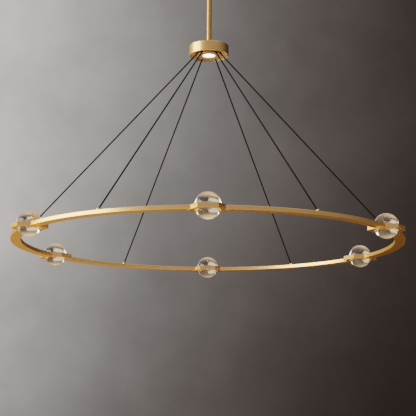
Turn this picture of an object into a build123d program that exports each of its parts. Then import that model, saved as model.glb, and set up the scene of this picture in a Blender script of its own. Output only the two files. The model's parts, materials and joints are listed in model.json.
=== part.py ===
from build123d import *
import math
import os

# A ring chandelier: a flat brass ring with hexagonal collars that hold crystal domes,
# slung on taut cords from a drum hub with a downlight, on a stem from a ceiling canopy.
# Millimetres. The origin is on the ceiling, on the stem's axis, and +Z is up.

# Driving dimensions

# Ring
STATIONS = 6                    # collars round the ring, with a cord halfway between each two
RING_RADIUS = 705.0             # to the middle of the bar
BAR_WIDTH = 38.0
BAR_HEIGHT = 13.5
BAR_WALL = 2.0
BAR_CHAMFER = 0.7

# Collars
COLLAR_FLATS = 113.0
COLLAR_HEIGHT = 16.0
COLLAR_CHAMFER = 0.6
COLLAR_WEB = 3.0                # metal left between the upper and the lower light pocket
TENON_LENGTH = 22.0             # beyond the collar's corner, into the bar
TENON_CLEARANCE = 0.15
WIRE_TUNNEL_RADIUS = 2.5

# Crystal domes and the lights under them
CRYSTAL_RADIUS = 44.0
CRYSTAL_RISE = 8.0              # of the sphere's centre above the ring's middle
CRYSTAL_CHAMFER = 0.5
SEAT_DEPTH = 2.0
SEAT_LAND = 2.0                 # the ring of the seat that a dome stands on
SEAT_CLEARANCE = 0.25
GLUE_DEPTH = 0.4                # of the recess inside that ring
DOME_BOARD_RADIUS = 16.5
DOME_BOARD_THICK = 1.2
DOME_LENS_RADIUS = 19.5
DOME_LENS_THICK = 2.0
LENS_GAP = 0.3                  # between the lens and the dome above it
CHIP_COUNT = 6
CHIP_CIRCLE = 9.0
CHIP_SIDE = 3.5
CHIP_HEIGHT = 0.7
POCKET_CLEARANCE = 0.25

# Screws that hold the bars on the tenons
JOINT_SCREW_RADIUS = 2.0
JOINT_SCREW_LENGTH = 7.0
JOINT_SCREW_SINK = 0.25
JOINT_SCREW_INSET = 9.0         # from the bar's middle towards the ring's centre
SOCKET_FLATS = 2.0
SOCKET_DEPTH = 1.5
THREAD_CLEARANCE = 0.05

# Wires in the ring
LEAD_RADIUS = 1.2

# Cords and the ferrules at their feet
CORD_RADIUS = 2.5
CORD_CLEARANCE = 0.1
CORD_HOLE_CLEARANCE = 0.5
CORD_CIRCLE = 42.8              # where the cords leave the hub's plate
CORD_INSET = 1.0                # from the dome's centre to the cord's end
FERRULE_RADIUS = 6.5
FERRULE_BASE = 3.5
STUD_RADIUS = 3.0
STUD_BORE = 1.5
STUD_SPARE = 0.6
FERRULE_NUT_FLATS = 10.0
FERRULE_NUT_HEIGHT = 3.2

# Hub
HUB_RISE = 725.5                # from the middle of the ring up to the hub's lower rim
HUB_RADIUS = 75.0
HUB_HEIGHT = 40.0
HUB_WALL = 2.5
HUB_ROOF = 3.0
HUB_EDGE = 1.8
HUB_RECESS = 12.0               # from the lower rim up to the plate
HUB_PLATE = 3.0
HUB_CLEARANCE = 0.2
HUB_SCREW_RADIUS = 1.5
HUB_SCREW_LENGTH = 10.0
HUB_SCREW_HEAD_RADIUS = 2.8
HUB_SCREW_HEAD = 2.0
GRIP_RADIUS = 6.0
GRIP_LENGTH = 6.0
JUNCTION_RADIUS = 48.0
JUNCTION_THICK = 1.6
JUNCTION_DROP = 8.0             # from the roof's underside down to the board
POST_COUNT = 3
POST_AZIMUTH = 30.0             # between two cords
BOARD_POST_RADIUS = 3.0
BOARD_POST_CIRCLE = 42.0
PLATE_POST_RADIUS = 4.0
PLATE_POST_CIRCLE = 60.0

# Downlight
APERTURE_RADIUS = 25.0
BEZEL_RADIUS = 46.5
BEZEL_SET = 1.0                 # above the hub's lower rim
BEZEL_FACE = 2.2
BEZEL_EDGE = 0.5
BEZEL_LIP = 1.0
BEZEL_WALL = 1.2
BEZEL_SHOULDER = 1.3            # under the hub's plate
BEZEL_SHOULDER_HEIGHT = 1.5
BEZEL_CLEARANCE = 0.15
DIFFUSER_THICK = 2.5
LAMP_BOARD_THICK = 1.6
SINK_BASE = 3.0
SINK_FINS = 7
SINK_FIN_THICK = 2.0
SINK_GAP = 4.4                  # between the fins and the board above them

# Stem
STEM_RADIUS = 9.0
STEM_WALL = 1.5
STEM_LENGTH = 300.0
SPIGOT_LENGTH = 18.0
SPIGOT_CLEARANCE = 0.05
TAIL_RADIUS = 5.0
TAIL_BORE = 3.5
TAIL_SPARE = 1.0
HUB_NUT_FLATS = 17.0
HUB_NUT_HEIGHT = 5.0
FEED_RADIUS = 2.4

# Hang-straight swivel
RUNNING_CLEARANCE = 0.06
HANGER_RADIUS = 5.0
HANGER_HEAD_RADIUS = 9.5
HANGER_HEAD_HEIGHT = 5.0
PLATE_NUT_FLATS = 17.0
PLATE_NUT_HEIGHT = 4.0
CAP_RADIUS = 14.0
CAP_WALL = 3.5
CAP_ROOF = 3.5
CAP_GAP = 1.5                   # between the plate's nut and the cap
THRUST_GAP = 0.1
PLUG_GAP = 1.0
PLUG_HEIGHT = 4.0
TONGUE_FLANGE = 2.0
TONGUE_THICK = 8.0
TONGUE_WIDTH = 15.0
BALL_GAP = 1.5                  # between the tongue's flange and the ball
BALL_RADIUS = 17.0
SLOT_CLEARANCE = 0.3
PIN_RADIUS = 3.0
PIN_SINK = 1.5
PIN_FIT = 0.02

# Ceiling plate
PLATE_THICK = 2.5
STRAP_LENGTH = 116.0
STRAP_WIDTH = 32.0
BOX_SLOT_SPACING = 79.5
BOX_SLOT_LENGTH = 14.5
BOX_SLOT_WIDTH = 5.0
TAB_WIDTH = 16.0
TAB_LENGTH = 20.0
TAB_CLEARANCE = 0.3

# Canopy
CANOPY_RADIUS = 75.0
CANOPY_HEIGHT = 48.0
CANOPY_WALL = 2.0
CANOPY_FLOOR = 2.5
CANOPY_EDGE = 1.2
CANOPY_HOLE_CLEARANCE = 0.4
CANOPY_SCREW_DROP = 12.0
CANOPY_SCREW_RADIUS = 2.0
CANOPY_SCREW_HEAD_RADIUS = 4.0
CANOPY_SCREW_HEAD = 3.0
CANOPY_SCREW_SPARE = 3.0
SCREW_HOLE_CLEARANCE = 0.2

# LED driver
DRIVER_LENGTH = 70.0
DRIVER_WIDTH = 28.0
DRIVER_HEIGHT = 22.0
DRIVER_CORNER = 2.0
DRIVER_GAP = 3.0                # clear of the swivel
EAR_LENGTH = 8.0
EAR_WIDTH = 12.0
EAR_THICK = 3.0
DRIVER_SCREW_RADIUS = 1.5
DRIVER_SCREW_HEAD_RADIUS = 2.8
DRIVER_SCREW_HEAD = 2.0
DRIVER_SCREW_SINK = 0.4
TERMINAL_COUNT = 3
TERMINAL_PITCH = 6.5
TERMINAL_HEIGHT = 10.0
TERMINAL_DEPTH = 6.0
TERMINAL_SCREW_RADIUS = 2.0
TERMINAL_SCREW_HEIGHT = 0.6

# Heights and directions that follow from them

STATION_ANGLE = 360.0 / STATIONS
COLLAR_CORNER = COLLAR_FLATS / math.sqrt(3.0)
MARGIN = 5.0                    # how far a cutting shape reaches past what it cuts

PLATE_BOTTOM = -PLATE_THICK
PLATE_NUT_BOTTOM = PLATE_BOTTOM - PLATE_NUT_HEIGHT
CAP_TOP = PLATE_NUT_BOTTOM - CAP_GAP
HANGER_HEAD_TOP = CAP_TOP - CAP_ROOF - THRUST_GAP
HANGER_BOTTOM = HANGER_HEAD_TOP - HANGER_HEAD_HEIGHT
PLUG_TOP = HANGER_BOTTOM - PLUG_GAP
CAP_BOTTOM = PLUG_TOP - PLUG_HEIGHT
TONGUE_TOP = CAP_BOTTOM - TONGUE_FLANGE
PIVOT_Z = TONGUE_TOP - BALL_GAP - BALL_RADIUS
BALL_FLAT_Z = PIVOT_Z - math.sqrt(BALL_RADIUS**2 - STEM_RADIUS**2)
SLOT_FLOOR_Z = PIVOT_Z - TONGUE_WIDTH / 2 - BALL_GAP

HUB_TOP = BALL_FLAT_Z - STEM_LENGTH
HUB_BOTTOM = HUB_TOP - HUB_HEIGHT
HUB_ROOF_BOTTOM = HUB_TOP - HUB_ROOF
HUB_PLATE_BOTTOM = HUB_BOTTOM + HUB_RECESS
HUB_PLATE_TOP = HUB_PLATE_BOTTOM + HUB_PLATE
TAIL_BOTTOM = HUB_ROOF_BOTTOM - HUB_NUT_HEIGHT - TAIL_SPARE
JUNCTION_TOP = HUB_ROOF_BOTTOM - JUNCTION_DROP
JUNCTION_BOTTOM = JUNCTION_TOP - JUNCTION_THICK
BEZEL_BOTTOM = HUB_BOTTOM + BEZEL_SET
DIFFUSER_BOTTOM = BEZEL_BOTTOM + BEZEL_FACE
SLEEVE_BORE = APERTURE_RADIUS + BEZEL_LIP
SLEEVE_RADIUS = SLEEVE_BORE + BEZEL_WALL
SINK_RADIUS = SLEEVE_RADIUS + BEZEL_SHOULDER
PLATE_RADIUS = HUB_RADIUS - HUB_WALL - HUB_CLEARANCE

RING_Z = HUB_BOTTOM - HUB_RISE
BAR_TOP = RING_Z + BAR_HEIGHT / 2
SEAT_HEIGHT = COLLAR_HEIGHT / 2 - SEAT_DEPTH          # above and below the ring's middle
LENS_LEDGE = SEAT_HEIGHT - LENS_GAP - DOME_LENS_THICK
TENON_ANGLE = math.degrees((COLLAR_CORNER + TENON_LENGTH) / RING_RADIUS)
JOINT_SCREW_ANGLE = math.degrees((COLLAR_CORNER + TENON_LENGTH / 2) / RING_RADIUS)

CORD_FOOT = Vector(RING_RADIUS, 0, BAR_TOP + FERRULE_BASE)
CORD_EXIT = Vector(CORD_CIRCLE, 0, HUB_PLATE_BOTTOM)
CORD_DIRECTION = (CORD_EXIT - CORD_FOOT).normalized()
CORD_START = CORD_FOOT + CORD_DIRECTION * CORD_INSET
CORD_REACH = (JUNCTION_BOTTOM - CORD_START.Z) / CORD_DIRECTION.Z


# Plain shapes

def round_bar(radius, bottom, top, x=0.0, y=0.0):
    """An upright cylinder between two heights."""
    return Pos(x, y, (bottom + top) / 2) * Cylinder(radius, top - bottom)


def round_tube(radius, bore, bottom, top):
    """An upright tube on the stem's axis."""
    return round_bar(radius, bottom, top) - round_bar(bore, bottom - MARGIN, top + MARGIN)


def hexagon_bar(flats, bottom, top, x=0.0, y=0.0, turn=0.0):
    """An upright hexagonal bar, sized across its flats."""
    outline = RegularPolygon(flats / 2, 6, major_radius=False, rotation=turn)
    return Pos(x, y, bottom) * extrude(outline, top - bottom)


def block(low, high):
    """A box between two corners."""
    size = Vector(*high) - Vector(*low)
    middle = (Vector(*high) + Vector(*low)) * 0.5
    return Pos(middle) * Box(size.X, size.Y, size.Z)


def rod(start, direction, length, radius):
    """A cylinder from a point along a direction."""
    axis = Plane(origin=start, z_dir=direction)
    return axis * Cylinder(radius, length, align=(Align.CENTER, Align.CENTER, Align.MIN))


def turned(shape, azimuth):
    """The shape swung about the stem's axis."""
    return Rot(0, 0, azimuth) * shape


def ring_arc(section, half_angle):
    """A stretch of the ring, centred on +X, with its section drawn about the bar's middle."""
    placed = Plane.XZ * Pos(RING_RADIUS, RING_Z) * section
    return turned(revolve(placed, Axis.Z, 2 * half_angle), -half_angle)


def chamfer_ends(shape, size):
    """The shape with the outer edges of its lowest and highest faces broken."""
    ends = shape.faces().sort_by(Axis.Z)
    return chamfer(ends[0].outer_wire().edges() + ends[-1].outer_wire().edges(), size)


def on_ring(azimuth):
    """A point of the bar's middle line."""
    angle = math.radians(azimuth)
    return RING_RADIUS * math.cos(angle), RING_RADIUS * math.sin(angle)


# Ring

def collar_prism(height):
    """The collar's hexagon at azimuth 0, with two corners along the ring."""
    return hexagon_bar(COLLAR_FLATS, RING_Z - height / 2, RING_Z + height / 2, x=RING_RADIUS, turn=30)


def joint_screw_place(azimuth):
    """Where a joint screw stands, on the inner side of the bar's middle line."""
    x, y = on_ring(azimuth)
    share = (RING_RADIUS - JOINT_SCREW_INSET) / RING_RADIUS
    return x * share, y * share


def ring_bar():
    """One length of bent flat tube at azimuth 0, with its ends notched round the collars."""
    half = STATION_ANGLE / 2
    section = Rectangle(BAR_WIDTH, BAR_HEIGHT)
    bar = ring_arc(chamfer(section.vertices(), BAR_CHAMFER), half)
    bar -= ring_arc(Rectangle(BAR_WIDTH - 2 * BAR_WALL, BAR_HEIGHT - 2 * BAR_WALL), half)
    for side in (-1, 1):
        bar -= turned(collar_prism(COLLAR_HEIGHT), side * half)
        x, y = joint_screw_place(side * (half - JOINT_SCREW_ANGLE))
        bar -= round_bar(JOINT_SCREW_RADIUS + THREAD_CLEARANCE, RING_Z, BAR_TOP + MARGIN, x, y)
    return bar - round_bar(STUD_RADIUS + THREAD_CLEARANCE, RING_Z, BAR_TOP + MARGIN, RING_RADIUS)


def hex_collar():
    """A collar at azimuth 0, with two dome seats, light pockets, tenons and a wire tunnel."""
    tenon_width = BAR_WIDTH - 2 * BAR_WALL - 2 * TENON_CLEARANCE
    tenon_height = BAR_HEIGHT - 2 * BAR_WALL - 2 * TENON_CLEARANCE
    collar = chamfer_ends(collar_prism(COLLAR_HEIGHT), COLLAR_CHAMFER)
    collar += ring_arc(Rectangle(tenon_width, tenon_height), TENON_ANGLE)
    for side in (-1, 1):
        seat_radius = dome_foot_radius(side) + SEAT_CLEARANCE
        pockets = (
            (seat_radius, SEAT_HEIGHT),
            (seat_radius - SEAT_LAND, SEAT_HEIGHT - GLUE_DEPTH),
            (DOME_LENS_RADIUS + POCKET_CLEARANCE, LENS_LEDGE),
            (DOME_BOARD_RADIUS + POCKET_CLEARANCE, COLLAR_WEB / 2),
        )
        for radius, floor in pockets:
            bottom, top = sorted((RING_Z + side * floor, RING_Z + side * COLLAR_HEIGHT))
            collar -= round_bar(radius, bottom, top, RING_RADIUS)
    reach = COLLAR_CORNER + TENON_LENGTH + MARGIN
    collar -= rod(Vector(RING_RADIUS, -reach, RING_Z), Vector(0, 1, 0), 2 * reach, WIRE_TUNNEL_RADIUS)
    screw_bottom = BAR_TOP - JOINT_SCREW_SINK - JOINT_SCREW_LENGTH
    for side in (-1, 1):
        x, y = joint_screw_place(side * JOINT_SCREW_ANGLE)
        hole = round_bar(JOINT_SCREW_RADIUS + THREAD_CLEARANCE, screw_bottom, BAR_TOP + MARGIN, x, y)
        collar -= hole
    return collar


def joint_screw(azimuth):
    """A socket screw sunk in the bar's top, down into the tenon."""
    x, y = joint_screw_place(azimuth)
    top = BAR_TOP - JOINT_SCREW_SINK
    screw = round_bar(JOINT_SCREW_RADIUS, top - JOINT_SCREW_LENGTH, top, x, y)
    return screw - hexagon_bar(SOCKET_FLATS, top - SOCKET_DEPTH, top + MARGIN, x, y)


def ring_lead():
    """The wire that lies in one bar, from tenon to tenon."""
    floor = -BAR_HEIGHT / 2 + BAR_WALL + LEAD_RADIUS
    return ring_arc(Pos(0, floor) * Circle(LEAD_RADIUS), STATION_ANGLE / 2 - TENON_ANGLE)


# Crystal domes at azimuth 0: side 1 stands on the collar and side -1 hangs under it

def dome_foot_radius(side):
    """The radius of a dome's flat foot."""
    return math.sqrt(CRYSTAL_RADIUS**2 - (side * SEAT_HEIGHT - CRYSTAL_RISE)**2)


def crystal_dome(side):
    """A solid crystal dome in the collar's seat, part of the sphere that both domes share."""
    ball = Pos(RING_RADIUS, 0, RING_Z + CRYSTAL_RISE) * Sphere(CRYSTAL_RADIUS)
    reach = 2 * CRYSTAL_RADIUS
    seat = RING_Z + side * SEAT_HEIGHT
    bottom, top = sorted((seat, seat - side * reach))
    dome = ball - block((RING_RADIUS - reach, -reach, bottom), (RING_RADIUS + reach, reach, top))
    return chamfer(dome.faces().filter_by(GeomType.PLANE).edges(), CRYSTAL_CHAMFER)


# Lights under the domes, modelled for the upper side at azimuth 0


def dome_board():
    """The round board in the light pocket, with its ring of chips."""
    bottom = RING_Z + COLLAR_WEB / 2
    top = bottom + DOME_BOARD_THICK
    board = round_bar(DOME_BOARD_RADIUS, bottom, top, RING_RADIUS)
    half = CHIP_SIDE / 2
    chip = block((-half, -half, top), (half, half, top + CHIP_HEIGHT))
    for index in range(CHIP_COUNT):
        spoke = Rot(0, 0, index * 360.0 / CHIP_COUNT) * Pos(CHIP_CIRCLE, 0)
        board += Pos(RING_RADIUS, 0) * spoke * chip
    return board


def dome_lens():
    """The frosted disc between the board and the dome."""
    bottom = RING_Z + LENS_LEDGE
    return round_bar(DOME_LENS_RADIUS, bottom, bottom + DOME_LENS_THICK, RING_RADIUS)


def underside(shape):
    """The same piece turned over about the ring's tangent, for the lower side."""
    tangent = Axis((RING_RADIUS, 0, RING_Z), (0, 1, 0))
    return shape.rotate(tangent, 180)


# Cords, modelled at azimuth 0

def cord():
    """A straight cord from its ferrule to the board in the hub, cut level where it meets the board."""
    run = rod(CORD_START, CORD_DIRECTION, CORD_REACH + MARGIN, CORD_RADIUS)
    return run - block((-HUB_RADIUS, -HUB_RADIUS, JUNCTION_BOTTOM), (HUB_RADIUS, HUB_RADIUS, HUB_TOP))


def cord_ferrule():
    """A domed ferrule that stands on the bar, bored along the cord, on a hollow stud."""
    ferrule = round_bar(FERRULE_RADIUS, BAR_TOP, CORD_FOOT.Z, RING_RADIUS)
    upward = (Align.CENTER, Align.CENTER, Align.MIN)
    ferrule += Pos(CORD_FOOT) * Sphere(FERRULE_RADIUS, arc_size1=0, align=upward)
    stud_length = BAR_WALL + FERRULE_NUT_HEIGHT + STUD_SPARE
    ferrule += round_bar(STUD_RADIUS, BAR_TOP - stud_length, BAR_TOP, RING_RADIUS)
    ferrule -= rod(CORD_START, CORD_DIRECTION, 2 * FERRULE_RADIUS, CORD_RADIUS + CORD_CLEARANCE)
    return ferrule - round_bar(STUD_BORE, BAR_TOP - stud_length - MARGIN, CORD_START.Z, RING_RADIUS)


def ferrule_nut():
    """The nut inside the bar that holds the ferrule down."""
    top = BAR_TOP - BAR_WALL
    nut = hexagon_bar(FERRULE_NUT_FLATS, top - FERRULE_NUT_HEIGHT, top, RING_RADIUS)
    bottom = top - FERRULE_NUT_HEIGHT
    return nut - round_bar(STUD_RADIUS + THREAD_CLEARANCE, bottom - MARGIN, top + MARGIN, RING_RADIUS)


def cord_grip():
    """The slanted bush that grips a cord on the hub's plate."""
    start = CORD_EXIT - CORD_DIRECTION * GRIP_LENGTH
    length = GRIP_LENGTH + HUB_PLATE / CORD_DIRECTION.Z + GRIP_LENGTH
    grip = rod(start, CORD_DIRECTION, length, GRIP_RADIUS)
    grip -= rod(start, CORD_DIRECTION, length + MARGIN, CORD_RADIUS + CORD_CLEARANCE)
    return grip - block((-HUB_RADIUS, -HUB_RADIUS, HUB_BOTTOM - HUB_HEIGHT),
                        (HUB_RADIUS, HUB_RADIUS, HUB_PLATE_TOP))


# Hub

def hub_posts(circle):
    """The places of three posts under the hub's roof, each between two cords."""
    places = []
    for index in range(POST_COUNT):
        angle = math.radians(POST_AZIMUTH + index * 360.0 / POST_COUNT)
        places.append((circle * math.cos(angle), circle * math.sin(angle)))
    return places


def hub_shell():
    """The drum, open below, with posts under its roof for the junction board and for the plate."""
    drum = round_bar(HUB_RADIUS, HUB_BOTTOM, HUB_TOP)
    ends = drum.faces().filter_by(GeomType.PLANE)
    drum = fillet(ends.edges(), HUB_EDGE)
    drum -= round_bar(HUB_RADIUS - HUB_WALL, HUB_BOTTOM - MARGIN, HUB_ROOF_BOTTOM)
    for x, y in hub_posts(BOARD_POST_CIRCLE):
        drum += round_bar(BOARD_POST_RADIUS, JUNCTION_TOP, HUB_ROOF_BOTTOM, x, y)
    for x, y in hub_posts(PLATE_POST_CIRCLE):
        drum += round_bar(PLATE_POST_RADIUS, HUB_PLATE_TOP, HUB_ROOF_BOTTOM, x, y)
        drum -= round_bar(HUB_SCREW_RADIUS + THREAD_CLEARANCE, HUB_PLATE_BOTTOM,
                          HUB_PLATE_BOTTOM + HUB_SCREW_LENGTH, x, y)
    return drum - round_bar(TAIL_RADIUS + THREAD_CLEARANCE, HUB_ROOF_BOTTOM - MARGIN, HUB_TOP + MARGIN)


def hub_base_plate():
    """The plate inside the hub, with the lamp's hole, the cords' holes and the screws' holes."""
    plate = round_bar(PLATE_RADIUS, HUB_PLATE_BOTTOM, HUB_PLATE_TOP)
    plate -= round_bar(SLEEVE_RADIUS + BEZEL_CLEARANCE, HUB_BOTTOM, HUB_TOP)
    start = CORD_EXIT - CORD_DIRECTION * MARGIN
    hole_length = HUB_PLATE / CORD_DIRECTION.Z + 2 * MARGIN
    hole = rod(start, CORD_DIRECTION, hole_length, CORD_RADIUS + CORD_HOLE_CLEARANCE)
    for index in range(STATIONS):
        plate -= turned(hole, index * STATION_ANGLE)
    for x, y in hub_posts(PLATE_POST_CIRCLE):
        plate -= round_bar(HUB_SCREW_RADIUS + SCREW_HOLE_CLEARANCE, HUB_BOTTOM, HUB_TOP, x, y)
    return plate


def hub_screw(x, y):
    """A round-headed screw up through the plate into its post."""
    screw = round_bar(HUB_SCREW_RADIUS, HUB_PLATE_BOTTOM, HUB_PLATE_BOTTOM + HUB_SCREW_LENGTH, x, y)
    head_bottom = HUB_PLATE_BOTTOM - HUB_SCREW_HEAD
    return screw + round_bar(HUB_SCREW_HEAD_RADIUS, head_bottom, HUB_PLATE_BOTTOM, x, y)


def junction_board():
    """The board that joins the feed to the cords, under the hub's roof."""
    return round_bar(JUNCTION_RADIUS, JUNCTION_BOTTOM, JUNCTION_TOP)


def downlight_bezel():
    """The lamp's disc, level with the hub's rim, with a sleeve and shoulder that hold it in the plate."""
    disc = chamfer_ends(round_bar(BEZEL_RADIUS, BEZEL_BOTTOM, DIFFUSER_BOTTOM), BEZEL_EDGE)
    bezel = disc - round_bar(APERTURE_RADIUS, HUB_BOTTOM, HUB_PLATE_TOP)
    bezel += round_tube(SLEEVE_RADIUS, SLEEVE_BORE, DIFFUSER_BOTTOM, HUB_PLATE_TOP)
    shoulder_bottom = HUB_PLATE_BOTTOM - BEZEL_SHOULDER_HEIGHT
    return bezel + round_tube(SINK_RADIUS, SLEEVE_BORE, shoulder_bottom, HUB_PLATE_BOTTOM)


def downlight_diffuser():
    """The lamp's frosted disc, on the bezel's lip."""
    return round_bar(SLEEVE_BORE - BEZEL_CLEARANCE, DIFFUSER_BOTTOM, DIFFUSER_BOTTOM + DIFFUSER_THICK)


def downlight_led_board():
    """The lamp's board in the sleeve, under the heat sink."""
    return round_bar(SLEEVE_BORE - BEZEL_CLEARANCE, HUB_PLATE_TOP - LAMP_BOARD_THICK, HUB_PLATE_TOP)


def downlight_heat_sink():
    """A finned disc that closes the bezel's sleeve and rests on the plate."""
    base_top = HUB_PLATE_TOP + SINK_BASE
    fin_top = JUNCTION_BOTTOM - SINK_GAP
    sink = round_bar(SINK_RADIUS, HUB_PLATE_TOP, base_top)
    pitch = 2 * SINK_RADIUS / SINK_FINS
    for index in range(SINK_FINS):
        y = (index - (SINK_FINS - 1) / 2) * pitch
        fin = block((-SINK_RADIUS, y - SINK_FIN_THICK / 2, HUB_PLATE_TOP),
                    (SINK_RADIUS, y + SINK_FIN_THICK / 2, fin_top))
        sink += fin & round_bar(SINK_RADIUS, HUB_PLATE_TOP, fin_top)
    return sink


# Stem

def stem():
    """The tube between the swivel's ball and the hub."""
    return round_tube(STEM_RADIUS, STEM_RADIUS - STEM_WALL, HUB_TOP, BALL_FLAT_Z)


def stem_tail():
    """The plug in the stem's foot, with a threaded tail through the hub's roof."""
    spigot = STEM_RADIUS - STEM_WALL - SPIGOT_CLEARANCE
    tail = round_bar(spigot, HUB_TOP, HUB_TOP + SPIGOT_LENGTH)
    tail += round_bar(TAIL_RADIUS, TAIL_BOTTOM, HUB_TOP)
    return tail - round_bar(TAIL_BORE, TAIL_BOTTOM - MARGIN, HUB_TOP + SPIGOT_LENGTH + MARGIN)


def hub_nut():
    """The nut that clamps the hub's roof to the stem."""
    nut = hexagon_bar(HUB_NUT_FLATS, HUB_ROOF_BOTTOM - HUB_NUT_HEIGHT, HUB_ROOF_BOTTOM)
    return nut - round_bar(TAIL_RADIUS + THREAD_CLEARANCE, TAIL_BOTTOM, HUB_TOP)


def feed_cable():
    """The cable down the stem, from the swivel's ball to the junction board."""
    return round_bar(FEED_RADIUS, JUNCTION_TOP, SLOT_FLOOR_Z)


# Swivel

def swivel_ball():
    """The slotted ball on the stem's head, with a spigot down into the stem."""
    reach = BALL_RADIUS + MARGIN
    ball = Pos(0, 0, PIVOT_Z) * Sphere(BALL_RADIUS)
    ball -= block((-reach, -reach, PIVOT_Z - reach), (reach, reach, BALL_FLAT_Z))
    ball += round_bar(STEM_RADIUS - STEM_WALL - SPIGOT_CLEARANCE, BALL_FLAT_Z - SPIGOT_LENGTH, BALL_FLAT_Z)
    half_slot = TONGUE_THICK / 2 + SLOT_CLEARANCE
    ball -= block((-half_slot, -reach, SLOT_FLOOR_Z), (half_slot, reach, PIVOT_Z + reach))
    ball -= rod(Vector(-reach, 0, PIVOT_Z), Vector(1, 0, 0), 2 * reach, PIN_RADIUS + PIN_FIT)
    return ball - round_bar(TAIL_BORE, BALL_FLAT_Z - SPIGOT_LENGTH - MARGIN, PIVOT_Z)


def pivot_pin():
    """The pin through the ball that the stem tilts on."""
    half = BALL_RADIUS - PIN_SINK
    return rod(Vector(-half, 0, PIVOT_Z), Vector(1, 0, 0), 2 * half, PIN_RADIUS)


def swivel_cap():
    """The cup that hangs and turns on the hanger bolt's head."""
    cap = round_bar(CAP_RADIUS, CAP_BOTTOM, CAP_TOP)
    cap -= round_bar(CAP_RADIUS - CAP_WALL, CAP_BOTTOM - MARGIN, CAP_TOP - CAP_ROOF)
    return cap - round_bar(HANGER_RADIUS + RUNNING_CLEARANCE, CAP_BOTTOM, CAP_TOP + MARGIN)


def swivel_tongue():
    """The plug in the cap with the flat tongue that the pin goes through."""
    tongue = round_bar(CAP_RADIUS - CAP_WALL - SPIGOT_CLEARANCE, CAP_BOTTOM, PLUG_TOP)
    tongue += round_bar(CAP_RADIUS, TONGUE_TOP, CAP_BOTTOM)
    half = TONGUE_THICK / 2
    tongue += block((-half, -TONGUE_WIDTH / 2, PIVOT_Z), (half, TONGUE_WIDTH / 2, TONGUE_TOP))
    tongue += rod(Vector(-half, 0, PIVOT_Z), Vector(1, 0, 0), TONGUE_THICK, TONGUE_WIDTH / 2)
    eye = PIN_RADIUS + RUNNING_CLEARANCE
    return tongue - rod(Vector(-TONGUE_THICK, 0, PIVOT_Z), Vector(1, 0, 0), 2 * TONGUE_THICK, eye)


# Ceiling plate and canopy

def tab_face():
    """How far out the plate's tabs reach inside the canopy's round wall."""
    return math.sqrt((CANOPY_RADIUS - CANOPY_WALL)**2 - (TAB_WIDTH / 2)**2) - TAB_CLEARANCE


def driver_near_side():
    """Where the driver's inner side stands, clear of the swivel."""
    return max(CAP_RADIUS, BALL_RADIUS) + DRIVER_GAP


def driver_screw_places():
    """The middles of the driver's two ears."""
    y = driver_near_side() + DRIVER_WIDTH / 2
    x = (DRIVER_LENGTH + EAR_LENGTH) / 2
    return [(-x, y), (x, y)]


def canopy_screw_hole(side, radius, inner, outer):
    """A level hole towards +X or -X at the canopy screws' height."""
    start = Vector(side * inner, 0, -CANOPY_SCREW_DROP)
    return rod(start, Vector(side, 0, 0), outer - inner, radius)


def mounting_plate():
    """The ceiling strap with slots for the outlet box, end tabs and a wing for the driver."""
    plate = block((-STRAP_LENGTH / 2, -STRAP_WIDTH / 2, PLATE_BOTTOM),
                  (STRAP_LENGTH / 2, STRAP_WIDTH / 2, 0))
    wing = DRIVER_LENGTH / 2 + EAR_LENGTH
    plate += block((-wing, 0, PLATE_BOTTOM), (wing, driver_near_side() + DRIVER_WIDTH, 0))
    face = tab_face()
    plate += block((-face, -TAB_WIDTH / 2, PLATE_BOTTOM), (face, TAB_WIDTH / 2, 0))
    for side in (-1, 1):
        edges = sorted((side * face, side * (face - PLATE_THICK)))
        plate += block((edges[0], -TAB_WIDTH / 2, -TAB_LENGTH), (edges[1], TAB_WIDTH / 2, 0))
        plate -= canopy_screw_hole(side, CANOPY_SCREW_RADIUS + THREAD_CLEARANCE,
                                   face - PLATE_THICK - MARGIN, face + MARGIN)
        slot = SlotOverall(BOX_SLOT_LENGTH, BOX_SLOT_WIDTH)
        plate -= Pos(side * BOX_SLOT_SPACING / 2, 0, 0) * extrude(slot, PLATE_THICK + MARGIN, both=True)
    plate -= round_bar(HANGER_RADIUS + THREAD_CLEARANCE, PLATE_BOTTOM - MARGIN, MARGIN)
    for x, y in driver_screw_places():
        plate -= round_bar(DRIVER_SCREW_RADIUS + THREAD_CLEARANCE, PLATE_BOTTOM - MARGIN, MARGIN, x, y)
    return plate


def hanger_bolt():
    """The bolt that hangs head down from the plate."""
    bolt = round_bar(HANGER_RADIUS, HANGER_BOTTOM, 0)
    return bolt + round_bar(HANGER_HEAD_RADIUS, HANGER_BOTTOM, HANGER_HEAD_TOP)


def plate_nut():
    """The nut that locks the hanger bolt under the plate."""
    nut = hexagon_bar(PLATE_NUT_FLATS, PLATE_NUT_BOTTOM, PLATE_BOTTOM)
    return nut - round_bar(HANGER_RADIUS + THREAD_CLEARANCE, PLATE_NUT_BOTTOM - MARGIN, MARGIN)


def canopy():
    """The cup that covers the outlet box, with the ball's hole in its floor."""
    cup = round_bar(CANOPY_RADIUS, -CANOPY_HEIGHT, 0)
    cup = fillet(cup.faces().sort_by(Axis.Z)[0].edges(), CANOPY_EDGE)
    cup -= round_bar(CANOPY_RADIUS - CANOPY_WALL, -CANOPY_HEIGHT + CANOPY_FLOOR, MARGIN)
    cup -= round_bar(BALL_RADIUS + CANOPY_HOLE_CLEARANCE, -CANOPY_HEIGHT - MARGIN, 0)
    for side in (-1, 1):
        cup -= canopy_screw_hole(side, CANOPY_SCREW_RADIUS + SCREW_HOLE_CLEARANCE,
                                 CANOPY_RADIUS - CANOPY_WALL - MARGIN, CANOPY_RADIUS + MARGIN)
    return cup


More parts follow.
